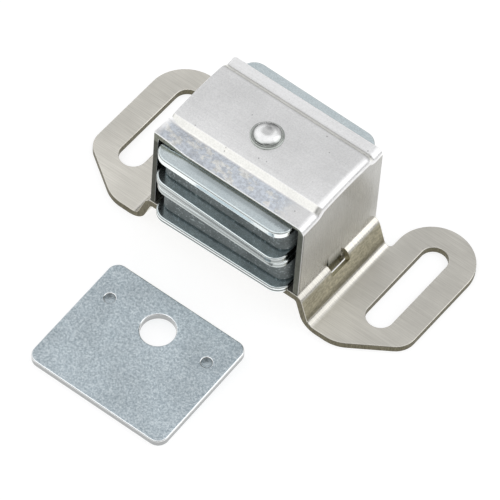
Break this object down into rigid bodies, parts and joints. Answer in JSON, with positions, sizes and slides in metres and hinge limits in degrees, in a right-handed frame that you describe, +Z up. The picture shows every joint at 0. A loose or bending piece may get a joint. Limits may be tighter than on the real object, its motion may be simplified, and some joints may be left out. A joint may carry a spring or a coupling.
{
  "type": "magnetic catch",
  "caption": "Double magnetic cabinet catch: slotted mounting strap, folded sheet housing, riveted stack of pole plates and magnets, and a separate strike plate.",
  "frame": {"origin": "centre of the housing's footprint, on the mounting plane (the underside of the ears)", "axes": "+X along the catch from ear to ear, -Y towards the door (the pole faces), +Z up from the mounting plane"},
  "size_m": [0.0698, 0.0685, 0.0283],
  "materials": {
    "strap_steel": "brushed",
    "housing_sheet": "rolled sheet",
    "rivet_metal": "polished",
    "zinc_plate": "bright zinc",
    "ferrite": "ground",
    "strike_zinc": "bright zinc"
  },
  "bodies": {
    "frame": {"mounting_strap": "strap_steel", "housing": "housing_sheet", "rivet": "rivet_metal"},
    "bottom_plate": {"bottom_pole_plate": "zinc_plate"},
    "magnet_low": {"lower_magnet": "ferrite"},
    "middle_plate_low": {"lower_middle_plate": "zinc_plate"},
    "middle_plate_high": {"upper_middle_plate": "zinc_plate"},
    "magnet_high": {"upper_magnet": "ferrite"},
    "top_plate": {"top_pole_plate": "zinc_plate"},
    "strike": {"strike_plate": "strike_zinc"}
  },
  "joints": [
    {"name": "bottom_plate_swivel", "type": "hinge", "parent": "frame", "child": "bottom_plate", "pos_m": [-0.00064, 0.00036, 0.00797], "axis": [0, 0, 1], "range_deg": [-3.3, 1.3]},
    {"name": "lower_magnet_swivel", "type": "hinge", "parent": "frame", "child": "magnet_low", "pos_m": [-0.00064, 0.00036, 0.01159], "axis": [0, 0, 1], "range_deg": [-3.4, 1.2]},
    {"name": "lower_middle_plate_swivel", "type": "hinge", "parent": "frame", "child": "middle_plate_low", "pos_m": [-0.00064, 0.00036, 0.01521], "axis": [0, 0, 1], "range_deg": [-1.5, 3.1]},
    {"name": "upper_middle_plate_swivel", "type": "hinge", "parent": "frame", "child": "middle_plate_high", "pos_m": [-0.00064, 0.00036, 0.01673], "axis": [0, 0, 1], "range_deg": [-0.3, 4.3]},
    {"name": "upper_magnet_swivel", "type": "hinge", "parent": "frame", "child": "magnet_high", "pos_m": [-0.00064, 0.00036, 0.02035], "axis": [0, 0, 1], "range_deg": [-1.5, 3.1]},
    {"name": "top_plate_swivel", "type": "hinge", "parent": "frame", "child": "top_plate", "pos_m": [-0.00064, 0.00036, 0.02397], "axis": [0, 0, 1], "range_deg": [-1.6, 3]},
    {"name": "strike_swing", "type": "hinge", "parent": "frame", "child": "strike", "pos_m": [0.0003, -0.01825, 0], "axis": [-1, 0, 0], "range_deg": [0, 94.25]}
  ]
}
